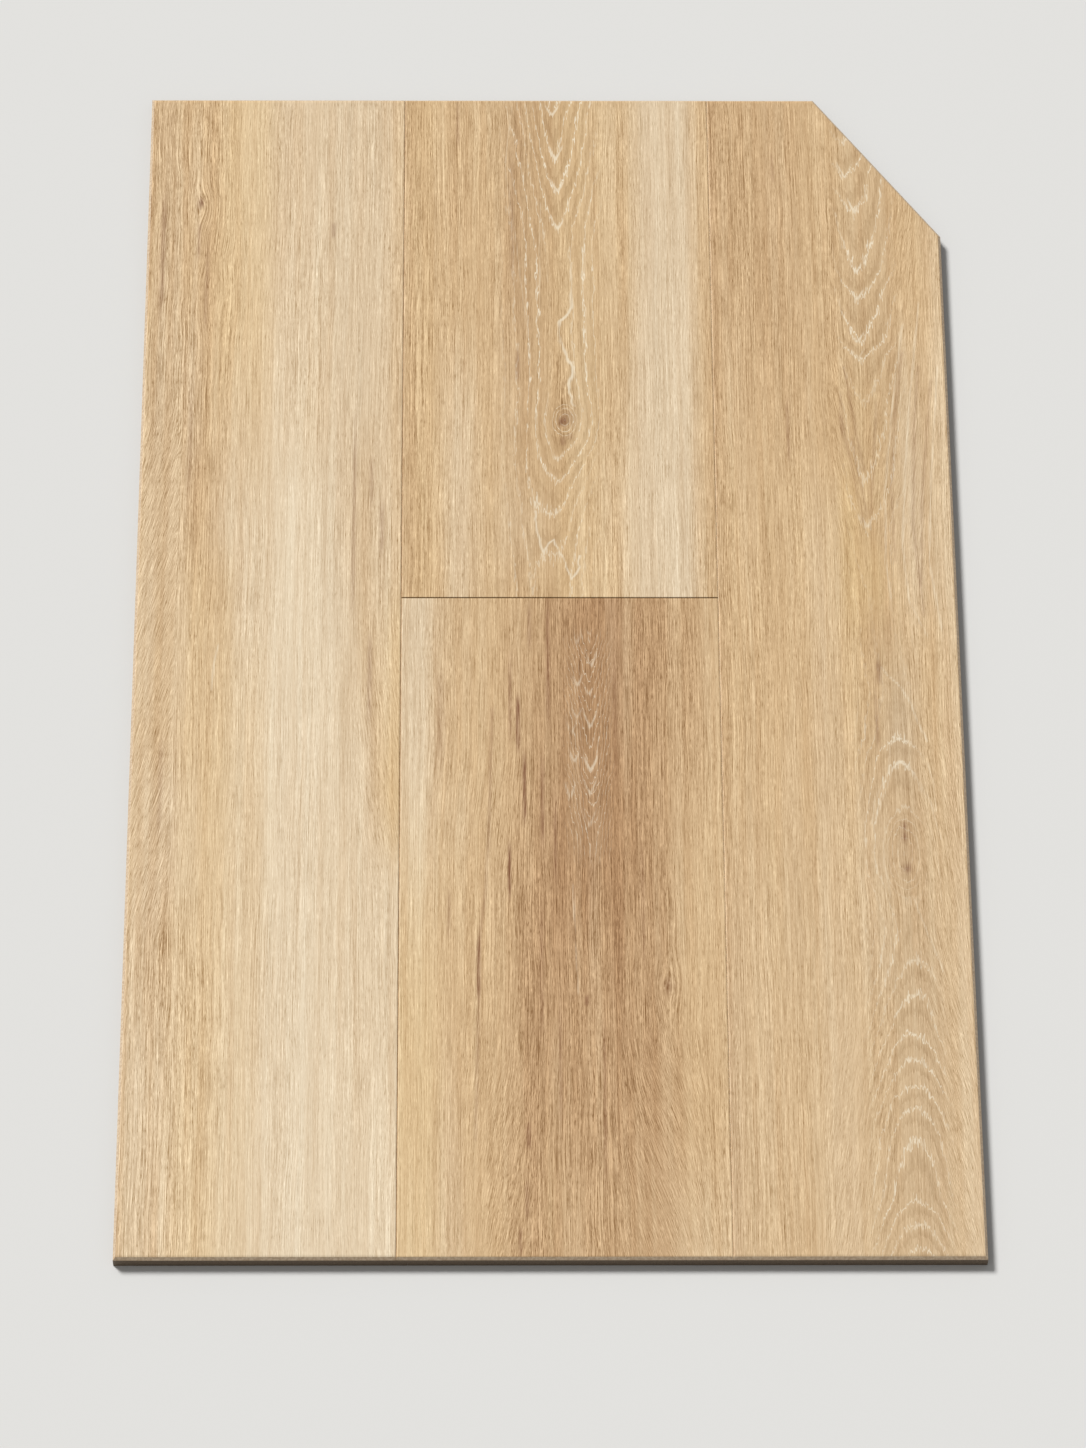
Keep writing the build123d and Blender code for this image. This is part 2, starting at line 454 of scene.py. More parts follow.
# %% Middle rear plank: limed Vs down its middle, a knot, straight tan grain beside them
def middle_rear_print(x, y):
    """Tan plank with nested Vs pointing to the front, broken by one knot, and a cream right side."""
    knot = (10.0, 152.0)
    grain = round_knot(wavering(x, y, 22), x, y, knot, 7.0, 4.0)
    uneven = mottled(x, y, 23)
    centre = [
        (380, 5), (369, 5), (337, 7), (314, 8), (287, 8), (230, 9), (152, 10.5), (125, 7), (89, 6), (32, 8)]
    counts = [
        (32, 0.4), (61, 1), (89, 2), (110, 3), (125, 4), (140, 4.7), (152, 4.9), (165, 4.7), (185, 4.55),
        (270, 4.7), (287, 5), (314, 6), (337, 7), (369, 8), (380, 8.4)]
    asides = [(0, 0), (4, 0.4), (8, 1), (15, 2), (20, 3), (28, 4), (36, 5), (110, 20)]
    ring = rings_about(grain, y, centre, counts, asides, 1.0)
    left_arms = up_to(-3, 11)
    upright = patches(x, y, [(0.75, left_arms, up_to(160, 30)), (0.35, left_arms, past(220, 30))])
    ring = ring + (4.6 - follow(y, counts)) * upright
    ring = knot_rings(ring, x, y, (11, 152), 7.0, 1.5, 2.6) + 0.12 * smooth_noise(x / 4, y / 9, 26)
    flank = faded(between(x, -22, 30, 7), x, y, [
        (0.6, past(21, 5), up_to(135, 15)), (0.4, None, up_to(57.5, 12.5)),
        (0.25, up_to(-8, 4), None), (0.3, None, (80, 118, 8))])
    jag = [
        (15.5, 262), (15.5, 230), (13, 224), (9, 221), (8.5, 207), (10.5, 201), (12.5, 195), (16.5, 189),
        (15.5, 182), (13.5, 177), (14, 170), (16.5, 162)]
    zigzag = [
        (-6.5, 90), (-5, 75), (-1.5, 61), (1, 68), (4.5, 71), (7, 63), (11, 55), (14.5, 44), (18, 52),
        (19, 60)]
    heavy = 0.55 + patches(x, y, [(0.25, None, (217, 240, 5)), (0.3, None, (165, 200, 6))])
    shaky = x + 0.9 * smooth_noise(x / 3, y / 4, 27)
    swell = 1.2 + 0.5 * smooth_noise(x / 6, y / 7, 28)
    fields = {
        "grain": grain,
        "lean": 0 * x,
        "ring": ring,
        "brown": np.clip(-0.10 * uneven + patches(x, y, [
            (0.48, up_to(-73, 11), None), (0.34, (12, 7), (155, 34)), (0.18, (-15, 11), None),
            (0.18, (-15, 11), past(155, 95)), (0.24, (4, 10), None), (0.14, past(92.5, 3.5), None)]), 0, 1),
        "cream": np.clip(0.16 * uneven + patches(x, y, [
            (0.40, (-49, 9), up_to(185, 65)), (0.66, (56 - 8 * ease(y, 300, 100), 87, 9), None),
            (0.15, (14, 48, 8), None), (0.20, (-12, 16), (80, 30)), (0.18, (36, 7), (100, 40))]), 0, 1),
        "grey": 0.12 * between(x, 52, 86, 8) + 0.04 * flank,
        "gold": patches(x, y, [(0.25, up_to(-64, 8), None), (0.3, (18, 22), None)]),
        "lime": np.clip(faded(flank, x, y, [(0.9, (-1, 15, 4), (165, 282, 12))]), 0, 1),
        "stroke": heavy * polyline(shaky, y, jag, swell) + 0.75 * polyline(shaky, y, zigzag, 0.9)
        + lines(stroke_along, x, y, [
            (0.45, 0.8, [(272, 23.5), (250, 23.5)]), (0.35, 0.8, [(232, 24), (200, 24)]),
            (0.40, 0.8, [(375, -19), (330, -23), (280, -17), (240, -13), (200, -9)]),
            (0.40, 0.8, [(306, -2.5), (225, -3)])])
        + vees(x, y, [
            (5, 369, 5, 9, 0.8), (7, 337, 5, 12, 0.8), (8, 314, 5, 10, 0.75), (8, 287, 4, 8, 0.8),
            (7, 125, 4, 8, 0.5), (8, 110, 4, 6, 0.5), (6, 89, 4, 7, 0.5)], 0.8),
        "mark": patches(x, y, [(0.75, (9.8, 2.2), (151, 3.0)), (0.3, (13, 4), (154, 6))]) + streaks(x, y, [
            (14, 143, 139, 1.2, 0.5), (10, 141, 135, 1.5, 0.4), (-51, 378, 345, 0.9, 0.35),
            (-19, 340, 250, 1.2, 0.25), (-16, 200, 180, 1.2, 0.4)]),
    }
    fields["lively"] = liveliness(x, y, fields, 25)
    return fields


# %% Middle front plank: a brown band through its middle, fanning out towards the front
def middle_front_print(x, y):
    """Cream to the left, brown in the middle, tan to the right, with small Vs and dark cracks."""
    knot = (65.5, -216.0)
    bend = patches(x, y, [(7, (-34, 22), up_to(-105, 65))])
    grain = round_knot(wavering(x, y, 31) + bend, x, y, knot, 4.0, 3.0)
    uneven = mottled(x, y, 33)
    forward = ease(y, -60, -180)
    band = ease(x, -38 - 4 * forward, 26 - 24 * forward) * ease(x, 110 - 29 * forward, 26 + 31 * forward)
    depth = 0.92 * (0.72 + 0.28 * between(y, -140, 40, 70)) - 0.12 * ease(y, -290, -360) - 0.28 * uneven
    brown = depth * band - 0.08 * uneven + patches(x, y, [
        (0.14, (30, 16), past(-130, 70)), (0.30, (21, 7), (-142, 42)), (0.20, (37, 5), past(-75, 35)),
        (0.16, (84, 9), past(-70, 50)), (-0.18, (-8, 9), (-135, 35)), (-0.25, (0, 6), (-345, 45)),
        (0.15, (38, 5), past(-20, 20)), (0.15, (66, 5), past(-20, 20)), (0.15, (-21, 6), (-10, 25)),
        (0.14, (24, 5), (-230, -90, 15))])
    counts = [
        (32, 8.6), (3, 8), (-12, 7), (-31, 6), (-52, 5), (-80, 4), (-95, 3), (-115, 2), (-145, 1.4),
        (-380, 1)]
    nested = rings_about(grain, y, [(0, 24)], counts, [(0, 0), (4, 0.6), (8, 1.8), (120, 26)], 0.8)
    front = up_to(-250, 35)
    corner = up_to(-325, 45)
    fields = {
        "grain": grain,
        "lean": patches(x, y, [(0.16, (-28, 22), front), (-0.32, (62, 22), front)]),
        "ring": 2 * nested + 0.25 * smooth_noise(x / 4, y / 8, 36),
        "brown": np.clip(brown, 0, 1),
        "cream": np.clip(0.12 * uneven + patches(x, y, [
            (0.46, (-73, 9), None), (-0.23, (-73, 9), up_to(-200, 100)), (0.22, up_to(-62.5, 17.5), None),
            (0.18, up_to(-65, 15), corner), (0.18, past(65, 15), corner),
            (0.22, (-54, 9), up_to(-275, 55)), (0.16, (-48, 7), (-110, 30))]), 0, 1),
        "grey": patches(x, y, [(0.15, up_to(-45, 15), past(-50, 70))]),
        "gold": patches(x, y, [(0.65, up_to(-61, 9), up_to(-150, 90))]),
        "lime": patches(x, y, [(0.65, (11, 35, 4), (-135, 8, 10))]),
        "stroke": 0.42 * stroke_along(x, y, [(-152, 13.5), (-185, 14.5), (-222, 16)], 1.0) + vees(x, y, [
            (17, 3, 2.5, 8, 0.45), (25, -12, 5, 15, 0.52), (17, -25, 4, 10, 0.52), (23.5, -31, 3.5, 8, 0.5),
            (24, -52, 5, 14, 0.58), (16.5, -46, 4, 9, 0.46), (13.5, -56, 4, 12, 0.48), (24, -80, 5, 12, 0.64),
            (15, -74, 4, 10, 0.52), (23.5, -95, 5, 13, 0.52), (12.5, -97, 4, 14, 0.55),
            (23, -115, 5, 14, 0.45)], 0.9),
        "mark": 0.35 * spot(x, y, knot, 3.0, 5.0) + 0.3 * stroke_along(x, y, [
            (-40, -31), (-126, -33), (-160, -35), (-190, -38.5), (-222, -38.5), (-310, -40)], 1.0)
        + streaks(x, y, [
            (0.5, 30, -46, 1.0, 0.5), (-10, 26, 0, 1.0, 0.42), (-16.5, -34, -66, 1.0, 0.9),
            (-13, -72, -112, 1.0, 0.8), (-21, -8, -58, 0.9, 0.45), (-21.5, -128, -160, 0.9, 0.75),
            (-3, -74, -126, 1.0, 0.5), (4, -95, -150, 1.0, 0.4), (-38.5, -188, -222, 1.0, 0.5),
            (-11.5, -300, -314, 1.2, 0.55), (-12.5, -335, -356, 1.0, 0.45), (-16, -362, -378, 0.9, 0.5),
            (-60, -20, -80, 2.2, 0.2), (20.5, -222, -228, 1.2, 0.5), (-55, -158, -185, 1.0, 0.3),
            (38, -10, -90, 1.0, 0.2), (52, -130, -200, 0.9, 0.25), (30, -240, -330, 0.9, 0.3),
            (6, -230, -300, 0.9, 0.3), (-4, -170, -240, 0.9, 0.3)]),
    }
    fields["lively"] = liveliness(x, y, fields, 35) * (0.9 + 0.2 * ease(y, -80, -220))
    return fields


# %% Right plank: straight golden grain, Vs by the clipped corner, a knot and arches towards the front
def right_print(x, y):
    """Tan plank with Vs at the rear, a greyish eye in the middle and arches at the front."""
    knot = (198.0, -134.0)
    grain = round_knot(wavering(x, y, 41), x, y, knot, 8.0, 3.0)
    uneven = mottled(x, y, 43)
    centre = [
        (380, 176), (325, 178), (298, 183), (211, 183), (125, 184), (79, 183), (40, 188), (0, 192),
        (-30, 197), (-139, 198.5), (-165, 202), (-219, 201), (-244, 198), (-380, 197)]
    counts = [
        (380, 12.3), (324, 10), (299, 9), (256, 8), (237, 7), (207, 6), (195, 5), (165, 4), (110, 3), (80, 2),
        (30, 1.3), (-30, 1.3), (-60, 2), (-75, 3), (-104, 4), (-116, 4.4), (-145, 4.5), (-165, 4),
        (-182, 3.5), (-200, 4), (-221, 5), (-245, 6), (-261, 7), (-277, 8), (-290, 9), (-309, 10),
        (-346, 11), (-360, 12), (-374, 13), (-380, 13.4)]
    rear_asides = [(0, 0), (4, 0.22), (9, 0.6), (17, 1.7), (30, 3.6), (120, 18)]
    front_asides = [(0, 0), (4, 0.14), (9, 0.55), (17, 1.8), (30, 4.2), (120, 22)]
    uneasy = y + 1.8 * smooth_noise(x / 5, y / 12, 45)
    vee = rings_about(grain, uneasy, centre, counts, rear_asides, 0.8, 0.1)
    arch = rings_about(grain, uneasy, centre, counts, front_asides, 1.5)
    ring = vee + (arch - vee) * ease(y, 40, -40)
    ragged = 0.35 * smooth_noise(x / 5, y / 9, 46)
    ring = knot_rings(ring, x, y, knot, 11.0, 2.2, 3.4) + ragged * spot(x, y, knot, 14, 30)
    right_end = 206 - 4 * ease(y, 150, 250) + 8 * ease(y, -160, -220)
    limed = between(x, 174, right_end, 7) * follow(y, [
        (380, 1.0), (200, 1.0), (175, 0.5), (100, 0.5), (70, 0.4), (20, 0.15), (-40, 0.3), (-60, 0.8),
        (-110, 0.7), (-165, 0.4), (-200, 0.85), (-380, 0.85)])
    limed = faded(limed, x, y, [(0.5, (198, 10), (-134, 22)), (0.4, up_to(189, 5), (-320, -150, 15))])
    calm_across, calm_along = (179, 196, 4), (-4, 84, 16)
    fields = {
        "grain": grain,
        "lean": patches(x, y, [
            (0.13, (198, 220, 7), past(55, 35)), (0.04, past(220, 5), past(55, 35)),
            (0.12, (186, 198, 4), (75, 200, 20)), (-0.14, (164, 182, 4), (75, 200, 20)),
            (-0.12, (206, 230, 6), up_to(-50, 30)), (-0.12, (206, 230, 6), up_to(-195, 25)),
            (0.16, (150, 188, 8), up_to(-225, 35))]),
        "ring": ring,
        "brown": np.clip(0.16 * limed - 0.10 * uneven + patches(x, y, [
            (0.26, up_to(152.5, 12.5), past(155, 95)), (0.22, (97, 5), None), (0.12, (166, 7), (90, 330, 40)),
            (0.18, (102, 8), up_to(-160, 40)), (0.62, calm_across, calm_along), (0.34, (184, 8), (-18, 32)),
            (0.08, (198, 11), (-134, 36)), (0.14, (180, 12), (125, 40)), (0.14, (204, 5), (190, 25)),
            (0.16, (187, 7), (80, 15))]), 0, 1),
        "cream": np.clip(0.14 * uneven + patches(x, y, [
            (0.26, past(224, 6), None), (0.16, None, up_to(-150, 150)), (0.15, (150, 166, 5), up_to(105, 45)),
            (0.25, (166.5, 3), (20, 110, 20)), (0.30, (209, 9), (105, 80)), (0.14, (187, 6), (185, 20)),
            (0.12, (207, 232, 5), (20, 210, 25)), (0.18, (172, 190, 5), (-220, -90, 20))]), 0, 1),
        "grey": np.clip(0.2 * limed + patches(x, y, [
            (0.5, (198, 11), (-44, 38)), (0.14, (212, 13), (100, 75)),
            (0.2, (206, 14), up_to(-70, 30))]), 0, 1),
        "gold": 0.12 * limed + patches(x, y, [
            (0.45, (173, 8), (15, 115, 25)), (0.45, (188, 8), (45, 32)), (0.25, (180, 16), (-50, 190, 40))]),
        "lime": limed,
        "stroke": lines(polyline, x, y, [
            (0.55, 1.0, [(188, -13), (192, -19), (198, -25), (204, -36), (208, -50), (213, -62)]),
            (0.38, 0.8, [(186, -125), (186, -140), (188, -152), (190, -170), (188, -190), (186, -212)]),
            (0.30, 0.8, [(206, -105), (213, -120), (216, -140), (218, -175)]),
            (0.38, 0.8, [(180, -115), (182, -100), (190, -82), (192, -64), (197, -60), (203, -63), (211, -73),
                         (215, -86), (216, -107)]),
            (0.42, 0.8, [(182, -112), (188, -95), (192, -82), (196, -76), (199, -75), (206, -85), (213, -100),
                         (218, -125)]),
            (0.50, 0.8, [(202, -162), (204, -170), (209, -185), (216, -207)])])
        + lines(stroke_along, x, y, [
            (0.45, 1.1, [(220, 209), (155, 200), (105, 195), (55, 193.5), (30, 196)]),
            (0.45, 1.1, [(235, 219), (155, 210), (105, 206), (67, 203.5), (30, 206), (5, 216)]),
            (0.45, 1.1, [(190, 228), (105, 221), (55, 218.5), (10, 224)])])
        + vees(x, y, [
            (178.5, 324, 6, 14, 0.6), (183.5, 299, 5, 12, 0.75), (183, 256, 4, 8, 0.85),
            (183, 237, 5, 9, 0.75), (182, 207, 5, 8, 0.75), (182, 195, 5, 10, 0.5),
            (184, 80, 4, 10, 0.6)], 0.8)
        + vees(x, -y, [
            (197, 60, 6, 4, 0.5), (197, 75, 6, 6, 0.6), (200, 200, 6, 5, 0.6), (201, 221, 5, 5, 0.5),
            (197, 245, 6, 6, 0.5), (197, 309, 5, 6, 0.55), (197, 360, 5, 5, 0.6)], 0.8),
        "mark": patches(x, y, [
            (0.60, (199, 2.2), (-143, 3.0)), (0.50, (198, 1.6), (-116, 2.6)), (0.45, (198, 1.6), (-123, 3.0)),
            (0.10, (198, 6), (-131, 20))])
        + streaks(x, y, [
            (140, 165, 125, 1.0, 0.35), (171, 170, 140, 1.2, 0.2), (135.5, 340, 320, 0.8, 0.3),
            (187, -10, -24, 2.0, 0.35), (185, -30, -66, 0.9, 0.3)])
        + lines(stroke_along, x, y, [(0.26, 0.9, path) for path in (
            [(190, 173.5), (117, 183)], [(155, 171), (82, 182)], [(140, 177), (85, 184)],
            [(165, 192), (88, 186)], [(200, 208), (155, 202), (105, 198.5), (55, 199)],
            [(190, 217), (155, 213.5), (80, 210), (20, 214)], [(180, 224), (100, 216), (40, 213)])]),
    }
    fields["lively"] = faded(liveliness(x, y, fields, 47), x, y, [(0.45, calm_across, calm_along)])
    return fields


print("prints: left, middle rear, middle front, right")

# %% [markdown]
# ## The embossed face
# Such a face is pressed with a plate whose relief follows the print: pores and ring lines are about a
# tenth of a millimetre deep. The relief is real geometry here, so it also shows in the mesh. It fades out
# at the rim, where the face has to meet its bevel.

# %% Relief of the face
PORE_DEPTH = 0.05
PORE_LAYERS = [(0.5, 1.1, 14), (0.5, 3.0, 60)]
RING_DEPTH = 0.05
RING_VALLEY = 0.16
FADE = 2.5


def relief(fields, y, rim):
    """Depth below the flat face: streaks of pores plus a shallow valley at each whole ring."""
    pores = 1 + layered(fields["grain"], y, 71, PORE_LAYERS)
    away = fields["ring"] - np.round(fields["ring"])
    valley = hump(away, 0, RING_VALLEY) * fields["lime"]
    return (PORE_DEPTH * pores + RING_DEPTH * valley) * ease(rim, 0, FADE)


print(f"relief at most {2 * PORE_DEPTH + RING_DEPTH:.2f} mm deep")

# %% [markdown]
# ## A plank from its parts
# The loop round a plank's section is: the face from left to right, the right side down, and the left side
# up. Rows of such loops are carried along the plank. The first and last rows are the end faces, where the
# face's points drop to the foot of the end bevel. Loops of equal length make the whole plank one grid,
# whose two open ends are closed by one face each.

# %% The grid of a plank
def loop_rows(left, right, columns, y):
    """Loops of all rows: face points from left to right, right chain downwards, left chain upwards."""
    left_top, left_base, left_along = side_lines(*left, y)
    right_top, right_base, right_along = side_lines(*right, y)
    face_x = left_top[:, None] + np.linspace(0, 1, columns) * (right_top - left_top)[:, None]
    face = np.stack([face_x, np.repeat(y[:, None], columns, 1), np.full_like(face_x, THICKNESS)], 2)
    sides = []
    for base, along, chain in (
            (right_base, right_along, CHAINS[right[0]]), (left_base, left_along, CHAINS[left[0]][::-1])):
        x = base[:, None] + chain[:, 0]
        heights = np.repeat(chain[None, :, 1], len(y), 0)
        sides.append(np.stack([x, np.repeat(along[:, None], len(chain), 1), heights], 2))
    return np.concatenate([face, *sides], axis=1)


def end_loop(row, columns, y, drop, right):
    """An end face's loop: the nearest row moved to the end, its face points dropped to the bevel's foot."""
    loop = row.copy()
    loop[:, 1] = y
    loop[:, 2] = np.minimum(loop[:, 2], THICKNESS - drop)
    first, last = loop[-1, 0], loop[columns, 0]
    if right[0] == "clipped":
        shift = right_outline(np.array(y)) - last
        loop[columns:columns + len(CHAINS[right[0]]), 0] += shift
        last = last + shift
    loop[:columns, 0] = np.linspace(first, last, columns)
    return loop


def plank_grid(left, right, front, rear, print_fields, columns, rows):
    """Carries the section loop along the plank, adds its ends, and presses the relief into the face."""
    (front_y, front_drop), (rear_y, rear_drop) = front, rear
    y = np.linspace(front_y + front_drop, rear_y - rear_drop, rows)
    if right[0] == "clipped":
        y[np.argmin(abs(y - INNER_KINK))] = INNER_KINK
    body = loop_rows(left, right, columns, y)
    loops = np.concatenate([
        end_loop(body[0], columns, front_y, front_drop, right)[None],
        body,
        end_loop(body[-1], columns, rear_y, rear_drop, right)[None],
    ])
    fields = print_fields(loops[..., 0], loops[..., 1])
    face = loops[1:-1, :columns]
    rim = np.minimum.reduce([
        face[..., 0] - face[:, :1, 0],
        face[:, -1:, 0] - face[..., 0],
        face[..., 1] - face[:1, :, 1],
        face[-1:, :, 1] - face[..., 1],
    ])
    on_face = {key: values[1:-1, :columns] for key, values in fields.items()}
    loops[1:-1, :columns, 2] -= relief(on_face, face[..., 1], rim)
    return loops, fields


def new_object(name, data):
    """Object at the origin, in the scene."""
    item = bpy.data.objects.new(name, data)
    bpy.context.scene.collection.objects.link(item)
    return item


print("a row has", sum(len(CHAINS[kind]) for kind in ("tongued", "grooved")), "points beside a middle face")

# %% [markdown]
# ## The mesh of a plank
# Each square of the grid becomes a face with a number for its finish: print, bevel paint, the paint of a
# seam or of the end joint with painted shade of its groove in it, or sawn core. The fields go along as
# attributes of the points, packed three or four to an attribute, so the shader can read them.

# %% Faces, finishes and attributes of a plank
# The seam and end-joint finishes are bevel paint with painted shade of the joint's groove in their colour.
PRINT, BEVEL, LEFT_SEAM_PAINT_AND_SHADE, RIGHT_SEAM_PAINT_AND_SHADE, END_JOINT_PAINT_AND_SHADE, CORE = range(6)
SIDE_FINISH = {LEFT_SIDE: BEVEL, RIGHT_SIDE: BEVEL, LEFT_SEAM: LEFT_SEAM_PAINT_AND_SHADE, RIGHT_SEAM: RIGHT_SEAM_PAINT_AND_SHADE}
END_FINISH = {EDGE_BEVEL: BEVEL, SEAM_BEVEL: END_JOINT_PAINT_AND_SHADE}
SAME_PLACE = 1e-7


def faces_of(loops, columns, left, right, front, rear):
    """Quads of the grid, round each loop and from row to row, with the finish of each."""
    row_count, length = loops.shape[:2]
    here = np.arange(row_count * length).reshape(row_count, length)
    nxt = np.roll(here, -1, axis=1)
    quads = np.stack([here[:-1], nxt[:-1], nxt[1:], here[1:]], axis=2)
    finish = np.full(quads.shape[:2], CORE)
    finish[1:-1, :columns - 1] = PRINT
    finish[:, columns - 1] = SIDE_FINISH[right[1]]
    finish[:, length - 1] = SIDE_FINISH[left[1]]
    finish[0, :columns - 1] = END_FINISH[front[1]]
    finish[-1, :columns - 1] = END_FINISH[rear[1]]
    caps = [here[0, ::-1].tolist(), here[-1].tolist()]
    return quads.reshape(-1, 4).tolist() + caps, np.append(finish.ravel(), [CORE, CORE]).astype(np.int32)


def make_plank(name, left, right, front, rear, print_fields, columns, rows):
    """One closed plank object with its fields as attributes, standing for its CAD node."""
    loops, fields = plank_grid(left, right, front, rear, print_fields, columns, rows)
    faces, finish = faces_of(loops, columns, left, right, front, rear)
    mesh = bpy.data.meshes.new(name)
    mesh.from_pydata(loops.reshape(-1, 3) * MM, [], faces)
    mesh.polygons.foreach_set("material_index", finish)
    mesh.polygons.foreach_set("use_smooth", finish == PRINT)
    flow = np.stack([fields["grain"], loops[..., 1], fields["ring"]], -1)
    tint = np.stack([fields[key] for key in ("brown", "cream", "grey", "lime")], -1)
    draw = np.stack([fields[key] for key in ("mark", "stroke", "lean", "gold")], -1)
    for key, kind, slot, values in (
            ("flow", "FLOAT_VECTOR", "vector", flow), ("tint", "FLOAT_COLOR", "color", tint),
            ("draw", "FLOAT_COLOR", "color", draw), ("lively", "FLOAT", "value", fields["lively"])):
        mesh.attributes.new(key, kind, "POINT").data.foreach_set(slot, values.astype(np.float32).ravel())
    tidy = bmesh.new()
    tidy.from_mesh(mesh)
    bmesh.ops.remove_doubles(tidy, verts=tidy.verts, dist=SAME_PLACE)
    bmesh.ops.recalc_face_normals(tidy, faces=tidy.faces)
    tidy.to_mesh(mesh)
    open_edges = sum(not edge.is_manifold for edge in tidy.edges)
    tidy.free()
    print(name, "faces", len(mesh.polygons), "open edges", open_edges)
    return new_object(name, mesh)


LEFT_EDGE, RIGHT_EDGE = ("trimmed", LEFT_SIDE), ("clipped", RIGHT_SIDE)
MIDDLE = ("tongued", LEFT_SEAM), ("grooved", RIGHT_SEAM)
SAWN_FRONT, SAWN_REAR = (FRONT, EDGE_BEVEL), (REAR, EDGE_BEVEL)
JOINT_FRONT, JOINT_REAR = ((END_JOINT + play, SEAM_BEVEL) for play in (HALF_GAP, -HALF_GAP))
LEFT_GRID, MIDDLE_GRID, RIGHT_GRID = (176, 460), (205, 400), (160, 460)
plans = {
    "left_plank": (LEFT_EDGE, ("grooved", LEFT_SEAM), SAWN_FRONT, SAWN_REAR, left_print, *LEFT_GRID),
    "middle_rear_plank": (*MIDDLE, JOINT_FRONT, SAWN_REAR, middle_rear_print, *MIDDLE_GRID),
    "middle_front_plank": (*MIDDLE, SAWN_FRONT, JOINT_REAR, middle_front_print, *MIDDLE_GRID),
    "right_plank": (("tongued", RIGHT_SEAM), RIGHT_EDGE, SAWN_FRONT, SAWN_REAR, right_print, *RIGHT_GRID),
}
planks = {node: make_plank(node + "_face", *plan) for node, plan in plans.items()}

# %% [markdown]
# ## Colours and small node helpers
# Colours are written as they look on a screen, from 0 to 255, and turned into the linear values that
# shaders add and mix. A small class stands for the output of a node, so that a formula such as a * b + c
# is written as it is and becomes Math nodes.

# %% Paint and node helpers
FLOAT, COLOUR, VECTOR = "NodeSocketFloat", "NodeSocketColor", "NodeSocketVector"


def paint(red, green, blue):
    """Screen colour to linear light, with full cover."""
    screen = np.array([red, green, blue]) / 255
    linear = np.where(screen <= 0.04045, screen / 12.92, ((screen + 0.055) / 1.055) ** 2.4)
    return (*linear.tolist(), 1.0)


def fill(tree, node, inputs):
    """Fills a node's sockets with plain values or with links from other nodes."""
    for key, value in inputs.items():
        if isinstance(value, Value):
            tree.links.new(value.socket, node.inputs[key])
        else:
            node.inputs[key].default_value = value


def put(tree, kind, inputs, **settings):
    """Adds a shader node of a kind, sets its properties and fills its sockets."""
    node = tree.nodes.new("ShaderNode" + kind)
    for key, value in settings.items():
        setattr(node, key, value)
    fill(tree, node, inputs)
    return node


class Value:
    """Output of a node; sums, products and the like of values are Math nodes in the same tree."""

    def __init__(self, node, key=0):
        self.socket = node.outputs[key]

    def maths(self, operation, *others):
        """Result of a Math node whose first input is this value."""
        inputs = dict(enumerate((self, *others)))
        return Value(put(self.socket.id_data, "Math", inputs, operation=operation))

    __add__ = partialmethod(maths, "ADD")
    __sub__ = partialmethod(maths, "SUBTRACT")
    __mul__ = partialmethod(maths, "MULTIPLY")
    __truediv__ = partialmethod(maths, "DIVIDE")
    __abs__ = partialmethod(maths, "ABSOLUTE")
    __round__ = partialmethod(maths, "ROUND")

    def remap(self, low, high, to_low=0.0, to_high=1.0):
        """This value carried smoothly from one range to another and held at its ends."""
        inputs = {"Value": self, "From Min": low, "From Max": high, "To Min": to_low, "To Max": to_high}
        return Value(put(self.socket.id_data, "MapRange", inputs, interpolation_type="SMOOTHSTEP"))

    def split(self, kind):
        """The three parts of this vector or colour."""
        node = put(self.socket.id_data, "Separate" + kind, {0: self})
        return [Value(node, key) for key in range(3)]


def mingle(tree, share, first, second, blend_type="MIX"):
    """Mix of two colours."""
    inputs = {0: share, 6: first, 7: second}
    return Value(put(tree, "Mix", inputs, data_type="RGBA", blend_type=blend_type), 2)


def new_group(name, inputs, outputs):
    """Empty shader group with named sockets; returns the tree, its inputs and its output node."""
    tree = bpy.data.node_groups.new(name, "ShaderNodeTree")
    for side, sockets in (("INPUT", inputs), ("OUTPUT", outputs)):
        for key, kind in sockets.items():
            tree.interface.new_socket(key, in_out=side, socket_type=kind)
    given = tree.nodes.new("NodeGroupInput")
    return tree, {key: Value(given, key) for key in inputs}, tree.nodes.new("NodeGroupOutput")


def use(tree, group, inputs):
    """Places a group in a tree with its own values and links; returns its outputs by name."""
    node = put(tree, "Group", {}, node_tree=group)
    fill(tree, node, inputs)
    return {socket.name: Value(node, socket.name) for socket in node.outputs}


print("screen grey 128 in linear light:", round(paint(128, 128, 128)[0], 3))

# %% [markdown]
# ## Fibres
# Close up, the print is made of light and dark streaks along the fibres. A noise texture read at
# (grain / width, along / length) gives streaks of that size which follow the flow round the knots. Slanted
# fibres are drawn in two sets of cells along the plank, each sheared about its own middle and faded towards
# its ends, so that the slant never adds up to more than a few millimetres.

# %% Groups: streaks along the fibres, straight and slanted
CELL = 1.6
CELL_SHIFT = 20.0
STREAK_INPUTS = {"Flow": VECTOR, "Width": FLOAT, "Length": FLOAT, "Shift": FLOAT}


def streak_size(width, length, shift):
    """Width and length of a streak in millimetres, and a shift that sets its pattern apart from others."""
    return {"Width": width, "Length": length, "Shift": shift}


def streak_noise(tree, across, along, shift):
    """Noise read at places counted in widths and lengths."""
    point = Value(put(tree, "CombineXYZ", {0: across, 1: along, 2: shift}))
    inputs = {"Vector": point, "Scale": 1.0, "Detail": 1.0, "Roughness": 0.5}
    return Value(put(tree, "TexNoise", inputs))


def straight_group():
    """Noise stretched along the flow."""
    tree, given, result = new_group("straight_streaks", STREAK_INPUTS, {"Streak": FLOAT})
    x, y, _ = given["Flow"].split("XYZ")
    streak = streak_noise(tree, x / given["Width"], y / given["Length"], given["Shift"])
    fill(tree, result, {"Streak": streak})
    return tree


